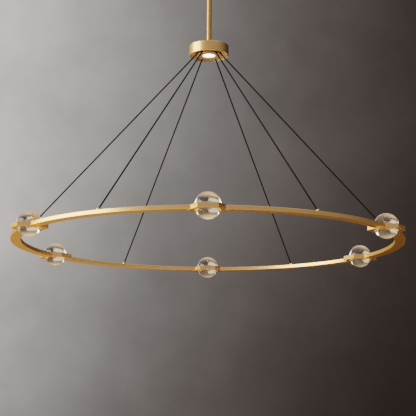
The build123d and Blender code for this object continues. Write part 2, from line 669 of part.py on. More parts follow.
def canopy_screw(side):
    """A round-headed screw from outside the canopy into the plate's tab."""
    inner = tab_face() - PLATE_THICK - CANOPY_SCREW_SPARE
    screw = canopy_screw_hole(side, CANOPY_SCREW_RADIUS, inner, CANOPY_RADIUS)
    head_top = CANOPY_RADIUS + CANOPY_SCREW_HEAD
    return screw + canopy_screw_hole(side, CANOPY_SCREW_HEAD_RADIUS, CANOPY_RADIUS, head_top)


def led_driver():
    """The driver under the plate's wing, with ears for its screws and a row of terminals at one end."""
    near = driver_near_side()
    middle = near + DRIVER_WIDTH / 2
    case = block((-DRIVER_LENGTH / 2, near, PLATE_BOTTOM - DRIVER_HEIGHT),
                 (DRIVER_LENGTH / 2, near + DRIVER_WIDTH, PLATE_BOTTOM))
    case = fillet(case.edges().filter_by(Axis.Z), DRIVER_CORNER)
    ear = DRIVER_LENGTH / 2 + EAR_LENGTH
    case += block((-ear, middle - EAR_WIDTH / 2, PLATE_BOTTOM - EAR_THICK),
                  (ear, middle + EAR_WIDTH / 2, PLATE_BOTTOM))
    for x, y in driver_screw_places():
        case -= round_bar(DRIVER_SCREW_RADIUS + SCREW_HOLE_CLEARANCE,
                          PLATE_BOTTOM - EAR_THICK - MARGIN, PLATE_BOTTOM + MARGIN, x, y)
    bottom = PLATE_BOTTOM - DRIVER_HEIGHT
    end = DRIVER_LENGTH / 2
    row = TERMINAL_COUNT * TERMINAL_PITCH
    case += block((end, middle - row / 2, bottom),
                  (end + TERMINAL_DEPTH, middle + row / 2, bottom + TERMINAL_HEIGHT))
    for index in range(TERMINAL_COUNT):
        y = middle + (index - (TERMINAL_COUNT - 1) / 2) * TERMINAL_PITCH
        x = end + TERMINAL_DEPTH / 2
        case += round_bar(TERMINAL_SCREW_RADIUS, bottom - TERMINAL_SCREW_HEIGHT, bottom, x, y)
    return case


def driver_screw(x, y):
    """A round-headed screw up through the driver's ear into the plate."""
    ear_bottom = PLATE_BOTTOM - EAR_THICK
    screw = round_bar(DRIVER_SCREW_RADIUS, ear_bottom, -DRIVER_SCREW_SINK, x, y)
    return screw + round_bar(DRIVER_SCREW_HEAD_RADIUS, ear_bottom - DRIVER_SCREW_HEAD, ear_bottom, x, y)


# Nodes

def write(name, *shapes):
    """One file for a node, with every solid of its shapes."""
    solids = [solid for shape in shapes for solid in shape.solids()]
    export_step(Compound(solids), f"parts/{name}.step")


def write_ring():
    """The bars, collars, domes and cords, each a node of its own, and their small pieces in groups."""
    bar, collar, run = ring_bar(), hex_collar(), cord()
    board, lens = dome_board(), dome_lens()
    boards, lenses, ferrules, nuts, leads, screws = [], [], [], [], [], []
    for index in range(STATIONS):
        at_cord = index * STATION_ANGLE
        at_collar = at_cord + STATION_ANGLE / 2
        write(f"ring_bar_{index + 1}", turned(bar, at_cord))
        write(f"hex_collar_{index + 1}", turned(collar, at_collar))
        write(f"crystal_upper_{index + 1}", turned(crystal_dome(1), at_collar))
        write(f"crystal_lower_{index + 1}", turned(crystal_dome(-1), at_collar))
        write(f"cord_{index + 1}", turned(run, at_cord))
        boards += [turned(board, at_collar), turned(underside(board), at_collar)]
        lenses += [turned(lens, at_collar), turned(underside(lens), at_collar)]
        ferrules.append(turned(cord_ferrule(), at_cord))
        nuts.append(turned(ferrule_nut(), at_cord))
        leads.append(turned(ring_lead(), at_cord))
        screws.append(joint_screw(at_collar - JOINT_SCREW_ANGLE))
        screws.append(joint_screw(at_collar + JOINT_SCREW_ANGLE))
    write("dome_led_boards", *boards)
    write("dome_led_lenses", *lenses)
    write("cord_ferrules", *ferrules)
    write("ferrule_nuts", *nuts)
    write("ring_leads", *leads)
    write("ring_joint_screws", *screws)


def write_hub():
    """The hub with its downlight and cord grips."""
    write("hub_shell", hub_shell())
    write("hub_base_plate", hub_base_plate())
    write("hub_screws", *[hub_screw(x, y) for x, y in hub_posts(PLATE_POST_CIRCLE)])
    write("cord_grips", *[turned(cord_grip(), index * STATION_ANGLE) for index in range(STATIONS)])
    write("junction_board", junction_board())
    write("downlight_bezel", downlight_bezel())
    write("downlight_diffuser", downlight_diffuser())
    write("downlight_led_board", downlight_led_board())
    write("downlight_heat_sink", downlight_heat_sink())


def write_stem():
    """The stem and the swivel at its head."""
    write("stem", stem())
    write("stem_tail", stem_tail())
    write("hub_nut", hub_nut())
    write("feed_cable", feed_cable())
    write("swivel_ball", swivel_ball())
    write("pivot_pin", pivot_pin())
    write("swivel_cap", swivel_cap())
    write("swivel_tongue", swivel_tongue())


def write_ceiling():
    """What stays on the ceiling."""
    write("mounting_plate", mounting_plate())
    write("hanger_bolt", hanger_bolt())
    write("plate_nut", plate_nut())
    write("canopy", canopy())
    write("canopy_screws", canopy_screw(-1), canopy_screw(1))
    write("led_driver", led_driver())
    write("driver_screws", *[driver_screw(x, y) for x, y in driver_screw_places()])


os.makedirs("parts", exist_ok=True)
write_ring()
write_hub()
write_stem()
write_ceiling()
print(f"pivot at {PIVOT_Z:.3f}, ring at {RING_Z:.3f}")
print("cord starts at", [round(value, 3) for value in CORD_START])
print("cord runs along", [round(value, 5) for value in CORD_DIRECTION])
print(f"cord length {CORD_REACH:.1f}, of which {(CORD_EXIT - CORD_START).length:.1f} below the hub")
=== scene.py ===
import json
import math

import bpy
from mathutils import Euler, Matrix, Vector


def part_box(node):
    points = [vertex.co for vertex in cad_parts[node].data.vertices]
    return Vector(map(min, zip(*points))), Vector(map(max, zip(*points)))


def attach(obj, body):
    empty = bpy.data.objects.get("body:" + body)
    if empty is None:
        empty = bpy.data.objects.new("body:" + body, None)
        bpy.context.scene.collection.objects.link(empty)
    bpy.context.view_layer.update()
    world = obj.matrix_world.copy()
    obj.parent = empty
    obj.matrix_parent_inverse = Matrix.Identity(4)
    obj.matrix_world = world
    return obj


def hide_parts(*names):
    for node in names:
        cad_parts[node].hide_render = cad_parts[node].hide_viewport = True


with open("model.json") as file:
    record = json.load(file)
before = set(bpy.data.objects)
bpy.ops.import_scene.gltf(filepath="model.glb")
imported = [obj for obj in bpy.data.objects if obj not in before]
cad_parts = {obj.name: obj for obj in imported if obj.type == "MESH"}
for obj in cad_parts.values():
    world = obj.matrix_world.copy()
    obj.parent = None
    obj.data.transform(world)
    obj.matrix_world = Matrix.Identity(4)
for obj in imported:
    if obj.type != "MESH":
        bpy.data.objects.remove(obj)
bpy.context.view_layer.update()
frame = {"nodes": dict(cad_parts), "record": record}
nodes = frame["nodes"]
subparts = frame["record"]["subparts"]

# Sizes, in metres

STATIONS = 6
RING_RADIUS = 0.705
ring_low, ring_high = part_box("ring_bar_1")
RING_Z = (ring_low.z + ring_high.z) / 2
collar_low, collar_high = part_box("hex_collar_1")
SEAT_DEPTH = 0.002
SEAT_HEIGHT = (collar_high.z - collar_low.z) / 2 - SEAT_DEPTH
CHIP_HEIGHT = 0.0030                # above the ring's middle, just over a dome board's face
BOARD_REACH = 0.02                  # above and below the ring's middle: no other board lies so near to it
FACE_SKIN = 0.0003                  # how near to a face counts as on it
NEAR_AXIS = 0.0001                  # the least distance from the stem's axis, because it divides

CORD_DIAMETER = 0.005
CORD_START = Vector((0.704327, 0.0, -1.111033))
CORD_DIRECTION = Vector((-0.67326, 0.0, 0.73940))
CORD_LENGTH = 1.0034
CORD_ROUNDING = 6
CORD_STEPS = 24

# Camera: the photograph's viewing angle, from below the ring

CAMERA_PLACE = Vector((0.0, -4.335, -1.8136))
CAMERA_PITCH = 10.78                # degrees above the level
CAMERA_ROLL = 0.35
CAMERA_LENS = 102.25                # millimetres on a 36 mm sensor
SENSOR_WIDTH = 36.0

# Brass. A pair of roughnesses is the least and the most along the streaks.

BRUSH_ACROSS = 2400.0               # streaks per metre across the brushing
BRUSH_TURN = 26.0                   # streaks per radian along it
BRUSH_RELIEF = 0.0000008
BRUSH_SHARE = 0.35                  # of the streaks in the colour
PATINA_SHARE = 0.65
PATINA_SCALE = 9.0
TONE_DARK = 0.36                    # where the dark colour and the light colour hold
TONE_LIGHT = 0.62
BRASS_EDGE = (0.88, 0.65, 0.34, 1.0)    # what the brass reflects at a glancing angle
BRASS_LIGHT = (0.84, 0.52, 0.24)
BRASS_DARK = (0.77, 0.46, 0.205)
BRUSHED_GLOSS = (0.27, 0.37)
POLISHED_LIGHT = (0.93, 0.66, 0.27)
POLISHED_DARK = (0.89, 0.60, 0.22)
POLISHED_GLOSS = (0.08, 0.15)
SATIN_LIGHT = (0.78, 0.61, 0.43)
SATIN_DARK = (0.72, 0.55, 0.37)
SATIN_GLOSS = (0.40, 0.50)
# The stem's brass: darker than the other brushed brass, as painted shade
STEM_SHADE_LIGHT = (0.70, 0.405, 0.165)
STEM_SHADE_DARK = (0.63, 0.355, 0.14)
# The hub's inside: paler than the brass, as painted light that lifts the shade there
DULL_LIGHT = (0.72, 0.60, 0.46)
DULL_DARK = (0.64, 0.53, 0.40)
DULL_ROUGHER = 0.25
HUB_RIM = 0.0022                    # the polished width of the hub's lower rim
HUB_ROOF = 0.002                    # how far down from its top the hub is polished
# Painted light: the collars' top faces glow round the upper domes, in place of the lamps' light spilled from
# them
SPILL_REACH = (0.0435, 0.050)       # from a dome's axis: where the painted glow on the collar is brightest, and ends
COLLAR_PAINTED_GLOW = 0.7
COLLAR_PAINTED_COLOUR = (1.0, 0.58, 0.20, 1.0)

# Crystal

CRYSTAL_COLOUR = (1.0, 0.945, 0.865, 1.0)
CRYSTAL_IOR = 1.52
HAZE_SCALE = 60.0
HAZE_ROUGHNESS = (0.0, 0.02)
SEED_SCALE = 620.0
SEED_RELIEF = 0.00004
FROST_ROUGHNESS = (0.04, 0.14)
# The ground foot's glow below is painted light: faint over the foot, brightest at its rim
RIM_REACH = (0.033, 0.0435)         # from a dome's axis: where the painted glow of its ground foot starts to rise, and is brightest
RIM_PAINTED_GLOW = 2.2
RIM_PAINTED_COLOUR = (1.0, 0.76, 0.47, 1.0)
RIM_GRAIN_SCALE = 240.0
RIM_GRAIN = (0.6, 1.4)
FOOT_PAINTED_GLOW = 0.05
FOOT_TINT = (0.60, 0.52, 0.43)      # what a dome's ground foot reflects
CLEAR_TINT = (1.0, 1.0, 1.0)

# Lamps: a strength and a colour each

LAMP_WARM = (1.0, 0.82, 0.58)
LAMP_PALE = (1.0, 0.93, 0.78)
LAMP_EDGE = (1.0, 0.72, 0.36)
LENS_MIDDLE = (50.0, LAMP_WARM)
LENS_EDGE = (12.0, LAMP_WARM)
LENS_REACH = (0.006, 0.013)         # from a dome's axis
DIFFUSER_MIDDLE = (5.0, LAMP_PALE)
DIFFUSER_EDGE = (1.5, LAMP_EDGE)
DIFFUSER_EVEN = 0.55                # the share of the diffuser's radius that is evenly lit
FROSTED_SCALE = 900.0
FROSTED_SHADE = 0.9
FROSTED_ROUGHNESS = (0.45, 0.6)
FROSTED_RELIEF = 0.00004

# Other finishes

BRAID_SCALE = 190.0
BRAID_DARK = (0.002, 0.002, 0.002)
BRAID_LIGHT = (0.010, 0.0095, 0.009)
BRAID_ROUGHNESS = (0.7, 0.9)
BRAID_SPECULAR = 0.12
BRAID_RELIEF = 0.0003
BOARD_SCALE = 260.0
BOARD_LIGHT = (0.90, 0.91, 0.90)
BOARD_DARK = (0.80, 0.81, 0.80)
BOARD_GLOSS_SCALE = 500.0
BOARD_ROUGHNESS = (0.35, 0.5)
CHIP_COLOUR = (0.95, 0.72, 0.22, 1.0)
GRAIN_RELIEF = 0.00005
GRAIN_SPREAD = 0.08                 # of the roughness, each way
GRAINED = {                         # name, light and dark colour, grains per metre, roughness and metallic
    "steel": ("steel_zinc", (0.66, 0.66, 0.67), (0.52, 0.53, 0.55), 240.0, 0.32, 1.0),
    "wire": ("wire_black", (0.035, 0.035, 0.035), (0.018, 0.018, 0.018), 500.0, 0.5, 0.0),
    "grip": ("grip_black", (0.04, 0.04, 0.04), (0.02, 0.02, 0.02), 700.0, 0.55, 0.0),
    "driver": ("driver_white", (0.86, 0.86, 0.84), (0.78, 0.78, 0.77), 800.0, 0.5, 0.0),
    "aluminium": ("aluminium_cast", (0.72, 0.72, 0.73), (0.60, 0.60, 0.62), 420.0, 0.42, 1.0),
}

# Floor, and the flag just above it

FLOOR_Z = -2.75
FLOOR_RADIUS = 30.0
FLOOR_SIDES = 96
FLOOR_LIGHT = (0.63, 0.61, 0.59)
FLOOR_DARK = (0.57, 0.55, 0.53)
FLOOR_ROUGHNESS = (0.67, 0.83)
FLOOR_RELIEF = 0.00005
SCREED_SCALE = 2.0                  # cloudings per metre
FLAG_LIFT = 0.005
FLAG_START = -2.4                   # metres beyond the stem, or towards the camera where negative
FLAG_END = 60.0
FLAG_SIDE = 60.0
FLAG_TURN = 6.7                     # degrees of the studio's tones for each metre to the right
FLAG_TURN_MOST = 60.0
FLAG_CLEAR = (4.5, 7.5)             # metres beyond the stem, where the studio's tones begin, and hold
FLAG_CLOUD = (0.9, 1.1)
FLAG_TONES = (                      # the studio's level, and the flag's colour there
    (0.1, (0.031, 0.026, 0.021)), (0.6, (0.024, 0.017, 0.010)), (0.85, (0.43, 0.385, 0.32)),
    (1.0, (0.50, 0.44, 0.36)))
FLAG_LIGHT = 1.6
FLAG_POOL = (                       # metres from the stem, and the colour of the painted warm pool of light there
    (0.0, (1.0, 0.85, 0.58)), (0.7, (1.0, 0.85, 0.58)), (1.4, (0.42, 0.30, 0.185)),
    (2.5, (0.40, 0.275, 0.165)), (3.4, (0.18, 0.123, 0.074)), (4.6, (0.105, 0.072, 0.042)),
    (6.4, (0.03, 0.02, 0.012)), (9.0, (0.0, 0.0, 0.0)))
FLAG_POOL_SIDE = 2.2                # metres to the left and right, where the painted pool is lightest and darkest
FLAG_POOL_SIDES = (1.5, 0.32)
BLACK = (0.0, 0.0, 0.0, 1.0)

# The studio's tone round the stem's axis: degrees from straight ahead to the right, and brightness

STUDIO_GREYS = (
    (-180, 0.45), (-140, 0.54), (-110, 0.80), (-60, 0.80), (-14, 0.62), (-8.8, 0.54), (14, 0.0285), (40, 0.03),
    (75, 0.10), (100, 0.27), (140, 0.39), (180, 0.45))
STUDIO_TINTS = (                    # the studio's level, and its tint there
    (0.12, (1.0, 0.74, 0.675)), (0.35, (1.0, 0.84, 0.79)), (0.6, (1.0, 0.93, 0.89)), (0.9, (1.0, 0.935, 0.915)))
DARKEST_GREY = 0.017
LIGHTEST_GREY = 0.85
BACKDROP_RISE = 13.6                # degrees above the level where those hold straight ahead
BACKDROP_SLANT = 0.43               # degrees to the right for each degree lower
CEILING_LEVEL = 1.05
CEILING_RISE = (26.0, 50.0)         # degrees above the level, where the ceiling's light begins and is full
CLOUD_SCALE = 13.0
CLOUD_LIGHT = (0.87, 1.13)

# Lights: places in metres, powers in watts

SOFTBOX_PLACE = (-4.2, -1.0, -0.4)
SOFTBOX_TARGET = (0.0, 0.0, -0.9)
SOFTBOX_SIZE = (4.0, 3.6)
SOFTBOX_POWER = 220.0
SOFTBOX_COLOUR = (1.0, 0.97, 0.93)
CARD_PLACE = (3.6, 1.2, -1.95)      # low on both sides, where glass and undersides show it
CARD_SIZE = (2.2, 1.5)
CARD_POWER = 36.0
CARD_COLOUR = (1.0, 0.88, 0.71)
SPOT_POWER = 380.0
SPOT_CONE = 76.0                    # degrees across
SPOT_DROP = 0.03                    # below the lamp
SPOT_RADIUS = 0.02
SPOT_COLOUR = (1.0, 0.87, 0.68)


# Camera

def make_camera():
    data = bpy.data.cameras.new("camera")
    data.lens = CAMERA_LENS
    data.sensor_width = SENSOR_WIDTH
    camera = bpy.data.objects.new("camera", data)
    bpy.context.scene.collection.objects.link(camera)
    tilt = Euler((math.radians(90 + CAMERA_PITCH), 0, 0)).to_matrix()
    roll = Euler((0, 0, math.radians(CAMERA_ROLL))).to_matrix()
    camera.rotation_euler = (tilt @ roll).to_euler()
    camera.location = CAMERA_PLACE
    bpy.context.scene.camera = camera


# Node helpers

def add(tree, kind, **settings):
    """A new shader node. Settings that name an input set its value, and others set the node's own."""
    node = tree.nodes.new(kind)
    for key, value in settings.items():
        if key in node.inputs:
            node.inputs[key].default_value = value
        else:
            setattr(node, key, value)
    return node


def new_material(name):
    material = bpy.data.materials.new(name)
    material.use_nodes = True
    tree = material.node_tree
    return material, tree, tree.nodes["Principled BSDF"]


def math_node(tree, operation, first, second=None):
    """The output of a math node on sockets or numbers."""
    node = add(tree, "ShaderNodeMath", operation=operation)
    for socket, value in zip(node.inputs, (first, second)):
        if value is None:
            continue
        if isinstance(value, (int, float)):
            socket.default_value = value
        else:
            tree.links.new(value, socket)
    return node.outputs[0]


def place(tree):
    """The surface point in the part's own frame."""
    return add(tree, "ShaderNodeTexCoord").outputs["Object"]


def coordinates(tree, vector):
    """A vector's x, y and z."""
    split = add(tree, "ShaderNodeSeparateXYZ")
    tree.links.new(vector, split.inputs[0])
    return split.outputs


def noise(tree, vector, scale, detail=3.0, roughness=0.5, w=None):
    """The grey value of a noise texture."""
    node = add(tree, "ShaderNodeTexNoise", Scale=scale, Detail=detail, Roughness=roughness)
    tree.links.new(vector, node.inputs["Vector"])
    if w is not None:
        node.noise_dimensions = "4D"
        tree.links.new(w, node.inputs["W"])
    return node.outputs[0]


def ramp(tree, value, stops):
    """A colour ramp of (position, colour) stops."""
    node = add(tree, "ShaderNodeValToRGB")
    elements = node.color_ramp.elements
    while len(elements) < len(stops):
        elements.new(0.5)
    for element, (position, colour) in zip(elements, stops):
        element.position = position
        element.color = (*colour, 1.0)
    tree.links.new(value, node.inputs[0])
    return node.outputs[0]


def spread(tree, value, low, high, start=0.3, end=0.7):
    """The value mapped from start..end to low..high."""
    node = add(tree, "ShaderNodeMapRange")
    for name, number in (("From Min", start), ("From Max", end), ("To Min", low), ("To Max", high)):
        node.inputs[name].default_value = number
    tree.links.new(value, node.inputs[0])
    return node.outputs[0]


def mixed(tree, factor, first, second):
    """The first colour where the factor is 0, and the second, a socket or a plain colour, where it is 1."""
    mix = add(tree, "ShaderNodeMix", data_type="RGBA")
    tree.links.new(factor, mix.inputs["Factor"])
    tree.links.new(first, mix.inputs[6])
    if isinstance(second, tuple):
        mix.inputs[7].default_value = second
    else:
        tree.links.new(second, mix.inputs[7])
    return mix.outputs[2]


def bump(tree, shader, height, distance):
    node = add(tree, "ShaderNodeBump", Distance=distance, Strength=1.0)
    tree.links.new(height, node.inputs["Height"])
    tree.links.new(node.outputs[0], shader.inputs["Normal"])


def hypotenuse(tree, first, second):
    squares = math_node(tree, "ADD", math_node(tree, "MULTIPLY", first, first),
                        math_node(tree, "MULTIPLY", second, second))
    return math_node(tree, "POWER", squares, 0.5)


def about_stem(tree):
    """A surface point's x, y and z, and its distance from the stem's axis."""
    x, y, z = coordinates(tree, place(tree))
    return x, y, z, math_node(tree, "MAXIMUM", hypotenuse(tree, x, y), NEAR_AXIS)


def stem_distance(tree):
    """How far a point is from the stem's axis."""
    return about_stem(tree)[3]


def ring_distance(tree):
    """How far a point is from the axis of the nearest collar."""
    x, y, z, radius = about_stem(tree)
    step = 2 * math.pi / STATIONS
    turn = math_node(tree, "FRACT", math_node(tree, "DIVIDE", math_node(tree, "ARCTAN2", y, x), step))
    turn = math_node(tree, "MULTIPLY", math_node(tree, "SUBTRACT", turn, 0.5), step)
    reach = math_node(tree, "MULTIPLY", radius, math_node(tree, "COSINE", turn))
    along = math_node(tree, "MULTIPLY", radius, math_node(tree, "SINE", turn))
    return hypotenuse(tree, math_node(tree, "SUBTRACT", reach, RING_RADIUS), along)


def ring_height(tree):
    """How far a point is above or below the ring's middle."""
    x, y, z = coordinates(tree, place(tree))
    return math_node(tree, "ABSOLUTE", math_node(tree, "SUBTRACT", z, RING_Z))


# Materials

def brush_streaks(tree):
    """Fine streaks that run round the stem's axis, as turned and rolled brass has them."""
    x, y, z, radius = about_stem(tree)
    point = add(tree, "ShaderNodeCombineXYZ")
    tree.links.new(math_node(tree, "MULTIPLY", radius, BRUSH_ACROSS), point.inputs[0])
    tree.links.new(math_node(tree, "MULTIPLY", z, BRUSH_ACROSS), point.inputs[1])
    cosine = math_node(tree, "MULTIPLY", math_node(tree, "DIVIDE", x, radius), BRUSH_TURN)
    sine = math_node(tree, "MULTIPLY", math_node(tree, "DIVIDE", y, radius), BRUSH_TURN)
    tree.links.new(cosine, point.inputs[2])
    return noise(tree, point.outputs[0], 1.0, detail=2.0, w=sine)


def brass(name, light, dark, gloss_range, inside=None, painted_collar_glow=False):
    """Brushed brass: streaks in its gloss and relief, and a slow drift of its colour.

    Nearer to the stem's axis than inside's radius, and lower than its top, it is rougher, and paler in colour
    as painted light that lifts the shade inside the hub.
    When set, the collars' top faces round the upper domes glow with painted light, in place of the lamps' light
    that the domes throw on them.
    """
    material, tree, shader = new_material(name)
    streaks = brush_streaks(tree)
    patina = noise(tree, place(tree), PATINA_SCALE, detail=4.0, roughness=0.6)
    tone = math_node(tree, "ADD", math_node(tree, "MULTIPLY", streaks, BRUSH_SHARE),
                     math_node(tree, "MULTIPLY", patina, PATINA_SHARE))
    colour = ramp(tree, tone, ((TONE_DARK, dark), (TONE_LIGHT, light)))
    gloss = spread(tree, streaks, *gloss_range)
    if inside:
        reach, top = inside
        x, y, z, radius = about_stem(tree)
        dull = math_node(tree, "MULTIPLY", math_node(tree, "LESS_THAN", radius, reach),
                         math_node(tree, "LESS_THAN", z, top))
        # paler colour inside the hub: painted light that lifts its shade
        dull_colour = ramp(tree, tone, ((TONE_DARK, DULL_DARK), (TONE_LIGHT, DULL_LIGHT)))
        colour = mixed(tree, dull, colour, dull_colour)
        gloss = math_node(tree, "ADD", gloss, math_node(tree, "MULTIPLY", dull, DULL_ROUGHER))
    tree.links.new(colour, shader.inputs["Base Color"])
    tree.links.new(gloss, shader.inputs["Roughness"])
    if painted_collar_glow:
        # painted light: a glow on the collar's top face round each dome
        face = math_node(tree, "GREATER_THAN", about_stem(tree)[2], collar_high.z - FACE_SKIN)
        glow = spread(tree, ring_distance(tree), COLLAR_PAINTED_GLOW, 0.0, *SPILL_REACH)
        tree.links.new(math_node(tree, "MULTIPLY", face, glow), shader.inputs["Emission Strength"])
        shader.inputs["Emission Color"].default_value = COLLAR_PAINTED_COLOUR
    shader.inputs["Metallic"].default_value = 1.0
    shader.inputs["Specular Tint"].default_value = BRASS_EDGE
    bump(tree, shader, streaks, BRUSH_RELIEF)
    return material


def crystal():
    """Polished crystal, with a ground and seeded foot whose rim glows with painted light, in place of the light
    of the lamp under it.
    """
    material, tree, shader = new_material("crystal_clear")
    ground = math_node(tree, "LESS_THAN", ring_height(tree), SEAT_HEIGHT + FACE_SKIN)
    haze = spread(tree, noise(tree, place(tree), HAZE_SCALE), *HAZE_ROUGHNESS)
    seeds = noise(tree, place(tree), SEED_SCALE, detail=2.0, roughness=0.6)
    frost = math_node(tree, "MULTIPLY", ground, spread(tree, seeds, *FROST_ROUGHNESS))
    tree.links.new(math_node(tree, "MAXIMUM", frost, haze), shader.inputs["Roughness"])
    bump(tree, shader, math_node(tree, "MULTIPLY", ground, seeds), SEED_RELIEF)
    # painted light: the ground foot glows, faintly at its middle and most at its rim
    rim = spread(tree, ring_distance(tree), FOOT_PAINTED_GLOW, RIM_PAINTED_GLOW, *RIM_REACH)
    grain = spread(tree, noise(tree, place(tree), RIM_GRAIN_SCALE, detail=4.0), *RIM_GRAIN)
    glow = math_node(tree, "MULTIPLY", ground, math_node(tree, "MULTIPLY", rim, grain))
    tree.links.new(glow, shader.inputs["Emission Strength"])
    shader.inputs["Emission Color"].default_value = RIM_PAINTED_COLOUR
    shader.inputs["Base Color"].default_value = CRYSTAL_COLOUR
    tint = ramp(tree, ground, ((0.0, CLEAR_TINT), (1.0, FOOT_TINT)))
    tree.links.new(tint, shader.inputs["Specular Tint"])
    shader.inputs["Transmission Weight"].default_value = 1.0
    shader.inputs["IOR"].default_value = CRYSTAL_IOR
    return material


def braid():
    """Fine black textile braid on a round cord."""
    material, tree, shader = new_material("cord_braid")
    strands = []
    for direction in ("DIAGONAL", "Z"):
        wave = add(tree, "ShaderNodeTexWave", Scale=BRAID_SCALE, Distortion=0.6, Detail=1.0)
        wave.bands_direction = direction
        tree.links.new(place(tree), wave.inputs["Vector"])
        strands.append(wave.outputs[1])
    weave = math_node(tree, "MAXIMUM", *strands)
    tree.links.new(ramp(tree, weave, ((0.2, BRAID_DARK), (0.9, BRAID_LIGHT))), shader.inputs["Base Color"])
    tree.links.new(spread(tree, weave, *BRAID_ROUGHNESS, 0.0, 1.0), shader.inputs["Roughness"])
    shader.inputs["Specular IOR Level"].default_value = BRAID_SPECULAR
    bump(tree, shader, weave, BRAID_RELIEF)
    return material


def grained(name, light, dark, scale, roughness, metallic):
    """A plain moulded or plated surface with a fine grain."""
    material, tree, shader = new_material(name)
    grain = noise(tree, place(tree), scale, detail=5.0, roughness=0.65)
    tree.links.new(ramp(tree, grain, ((0.35, dark), (0.65, light))), shader.inputs["Base Color"])
    gloss = spread(tree, grain, roughness - GRAIN_SPREAD, roughness + GRAIN_SPREAD)
    tree.links.new(gloss, shader.inputs["Roughness"])
    shader.inputs["Metallic"].default_value = metallic
    bump(tree, shader, grain, GRAIN_RELIEF)
    return material


def lit_lens(name, middle, edge, distance, reach):
    """A frosted disc with light behind it.

    Middle and edge are each a strength and a colour, and reach is how far from the axis they hold.
    """
    material, tree, shader = new_material(name)
    frost = noise(tree, place(tree), FROSTED_SCALE, detail=2.0)
    out = distance(tree)
    share = spread(tree, out, 0.0, 1.0, *reach)
    tree.links.new(ramp(tree, share, ((0.0, middle[1]), (1.0, edge[1]))), shader.inputs["Emission Color"])
    tree.links.new(spread(tree, out, middle[0], edge[0], *reach), shader.inputs["Emission Strength"])
    shaded = tuple(FROSTED_SHADE * value for value in middle[1])
    tree.links.new(ramp(tree, frost, ((0.3, shaded), (0.7, middle[1]))), shader.inputs["Base Color"])
    tree.links.new(spread(tree, frost, *FROSTED_ROUGHNESS), shader.inputs["Roughness"])
    bump(tree, shader, frost, FROSTED_RELIEF)
    return material


def chip_board():
    """White solder mask with yellow chips where they stand proud of the dome boards."""
    material, tree, shader = new_material("board_white")
    height = ring_height(tree)
    near_ring = math_node(tree, "LESS_THAN", height, BOARD_REACH)
    chip = math_node(tree, "MULTIPLY", near_ring, math_node(tree, "GREATER_THAN", height, CHIP_HEIGHT))
    mask = ramp(tree, noise(tree, place(tree), BOARD_SCALE), ((0.4, BOARD_DARK), (0.6, BOARD_LIGHT)))
    tree.links.new(mixed(tree, chip, mask, CHIP_COLOUR), shader.inputs["Base Color"])
    gloss = spread(tree, noise(tree, place(tree), BOARD_GLOSS_SCALE), *BOARD_ROUGHNESS)
    tree.links.new(gloss, shader.inputs["Roughness"])
    return material


def dress_nodes():
    """Every carried-over node takes its finish by its material slot, and a few by their name."""
    polished = brass("brass_polished", POLISHED_LIGHT, POLISHED_DARK, POLISHED_GLOSS)
    satin = brass("brass_satin", SATIN_LIGHT, SATIN_DARK, SATIN_GLOSS)
    hub_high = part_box("hub_shell")[1]
    hub_inside = (hub_high.x - HUB_RIM, hub_high.z - HUB_ROOF)
    lens_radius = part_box("downlight_diffuser")[1].x
    diffuser_reach = (DIFFUSER_EVEN * lens_radius, lens_radius)
    finishes = {
        "brass": brass("brass_brushed", BRASS_LIGHT, BRASS_DARK, BRUSHED_GLOSS),
        "crystal": crystal(),
        "cord": braid(),
        "lens": lit_lens("lens_frosted", LENS_MIDDLE, LENS_EDGE, ring_distance, LENS_REACH),
        "board": chip_board(),
    }
    for slot, look in GRAINED.items():
        finishes[slot] = grained(*look)
    by_name = {
        "cord_ferrules": polished,
        "canopy_screws": polished,
        "hub_shell": brass("brass_hub", BRASS_LIGHT, BRASS_DARK, BRUSHED_GLOSS, inside=hub_inside),
        # the stem's darker brass is painted shade
        "stem": brass("stem_brass_painted_shade", STEM_SHADE_LIGHT, STEM_SHADE_DARK, BRUSHED_GLOSS),
        "hub_base_plate": satin,
        "downlight_bezel": satin,
        "downlight_diffuser": lit_lens("diffuser_lit", DIFFUSER_MIDDLE, DIFFUSER_EDGE, stem_distance,
                                       diffuser_reach),
    }
    collar = brass("collar_brass_painted_glow", BRASS_LIGHT, BRASS_DARK, BRUSHED_GLOSS, painted_collar_glow=True)
    for station in range(STATIONS):
        by_name[f"hex_collar_{station + 1}"] = collar
    for part in subparts:
        materials = nodes[part["node"]].data.materials
        materials[0] = by_name.get(part["node"], finishes[part["material_slot"]])
    return finishes


# Cords

def make_cord(index, material):
    """A taut cord from its ferrule on the ring up to the board in the hub."""
    turn = Euler((0, 0, math.radians(index * 360.0 / STATIONS))).to_matrix()
    points = [turn @ (CORD_START + CORD_DIRECTION * CORD_LENGTH * share) for share in (0.0, 0.5, 1.0)]
    data = bpy.data.curves.new(f"suspension_cord_{index + 1}", "CURVE")
    data.dimensions = "3D"
    spline = data.splines.new("NURBS")
    spline.points.add(len(points) - 1)
    for control, point in zip(spline.points, points):
        control.co = (*point, 1.0)
    spline.order_u = 3
    spline.use_endpoint_u = True
    data.bevel_depth = CORD_DIAMETER / 2
    data.bevel_resolution = CORD_ROUNDING
    data.resolution_u = CORD_STEPS
    data.use_fill_caps = True
    data.materials.append(material)
    piece = bpy.data.objects.new(f"suspension_cord_{index + 1}", data)
    bpy.context.scene.collection.objects.link(piece)
    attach(piece, "chandelier")
    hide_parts(f"cord_{index + 1}")


# Stage and light

def screed(tree):
    """The floor's faint clouding."""
    return noise(tree, place(tree), SCREED_SCALE, detail=5.0, roughness=0.65)


def floor_finish():
    """A plain pale screed."""
    material, tree, shader = new_material("floor_pale")
    cloud = screed(tree)
    tree.links.new(ramp(tree, cloud, ((0.3, FLOOR_DARK), (0.7, FLOOR_LIGHT))), shader.inputs["Base Color"])
    tree.links.new(spread(tree, cloud, *FLOOR_ROUGHNESS), shader.inputs["Roughness"])
    bump(tree, shader, cloud, FLOOR_RELIEF)
    return material


